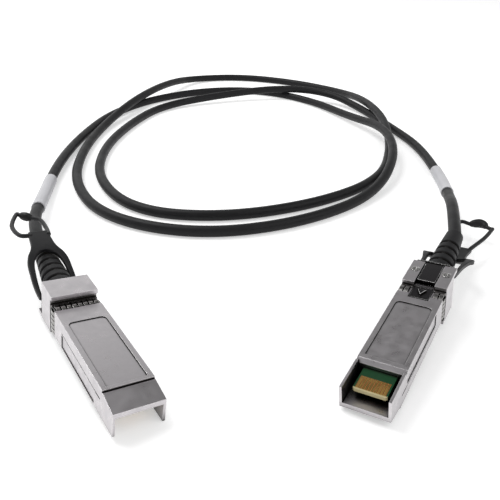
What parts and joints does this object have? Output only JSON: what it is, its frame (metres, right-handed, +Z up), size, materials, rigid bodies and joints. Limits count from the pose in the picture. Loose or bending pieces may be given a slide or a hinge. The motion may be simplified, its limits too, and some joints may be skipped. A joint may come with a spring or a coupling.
{
  "type": "direct attach copper cable",
  "caption": "Flexible twinaxial network cable lying in a loose double loop, with a latching metal plug, ribbed boot and pull tab at each end.",
  "frame": {"origin": "on the bench, at the bottom centre of the box that holds both plugs without the cable", "axes": "+Z up from the bench, +X from plug A to plug B, +Y from the plugs towards the far side of the cable's loops"},
  "size_m": [0.1942, 0.378, 0.0161],
  "materials": {
    "cast_zinc": "satin",
    "spring_steel": "polished",
    "board_green": "gloss",
    "gold_plate": "polished",
    "wire_jacket": "matte",
    "crimp_metal": "satin",
    "moulded_black": "satin",
    "latch_metal": "satin",
    "tab_black": "satin",
    "screw_metal": "polished",
    "cable_jacket": "satin",
    "label_film": "satin"
  },
  "bodies": {
    "harness": {"plug_a_top_cover": "cast_zinc", "plug_a_bottom_shell": "cast_zinc", "plug_a_emi_collar": "spring_steel", "plug_a_circuit_board": "board_green", "plug_a_contact_pads": "gold_plate", "plug_a_signal_wires": "wire_jacket", "plug_a_crimp_ring": "crimp_metal", "plug_a_boot": "moulded_black", "plug_a_latch_pin": "spring_steel", "plug_a_left_screw": "screw_metal", "plug_a_right_screw": "screw_metal", "plug_a_return_spring": "spring_steel", "plug_b_top_cover": "cast_zinc", "plug_b_bottom_shell": "cast_zinc", "plug_b_emi_collar": "spring_steel", "plug_b_circuit_board": "board_green", "plug_b_contact_pads": "gold_plate", "plug_b_signal_wires": "wire_jacket", "plug_b_crimp_ring": "crimp_metal", "plug_b_boot": "moulded_black", "plug_b_latch_pin": "spring_steel", "plug_b_left_screw": "screw_metal", "plug_b_right_screw": "screw_metal", "plug_b_return_spring": "spring_steel", "cable": "cable_jacket", "label_sleeve_a": "label_film", "label_sleeve_b": "label_film"},
    "plug_a_release": {"plug_a_release_slider": "latch_metal", "plug_a_pull_tab": "tab_black"},
    "plug_a_latch": {"plug_a_latch_lever": "latch_metal"},
    "plug_b_release": {"plug_b_release_slider": "latch_metal", "plug_b_pull_tab": "tab_black"},
    "plug_b_latch": {"plug_b_latch_lever": "latch_metal"}
  },
  "joints": [
    {"name": "plug_a_release_pull", "type": "slide", "parent": "harness", "child": "plug_a_release", "axis": [-0.5619, 0.8268, 0.0245], "range_m": [0, 0.0025], "stiffness_N_per_m": 400, "springref_m": -0.002, "deforming": ["plug_a_return_spring"]},
    {"name": "plug_a_latch_tilt", "type": "hinge", "parent": "harness", "child": "plug_a_latch", "pos_m": [-0.05599, -0.01185, 0.0028], "axis": [-0.8192, -0.5604, 0.1218], "range_deg": [0, 9]},
    {"name": "plug_b_release_pull", "type": "slide", "parent": "harness", "child": "plug_b_release", "axis": [0.474, 0.8745, 0.1024], "range_m": [0, 0.0025], "stiffness_N_per_m": 400, "springref_m": -0.002, "deforming": ["plug_b_return_spring"]},
    {"name": "plug_b_latch_tilt", "type": "hinge", "parent": "harness", "child": "plug_b_latch", "pos_m": [0.05004, -0.00378, 0.01248], "axis": [0.8742, -0.4814, 0.0642], "range_deg": [0, 9]}
  ],
  "couplings": [
    {"joint": "plug_a_latch_tilt", "follows": "plug_a_release_pull", "rad_per_m": 62.769},
    {"joint": "plug_b_latch_tilt", "follows": "plug_b_release_pull", "rad_per_m": 62.769}
  ]
}
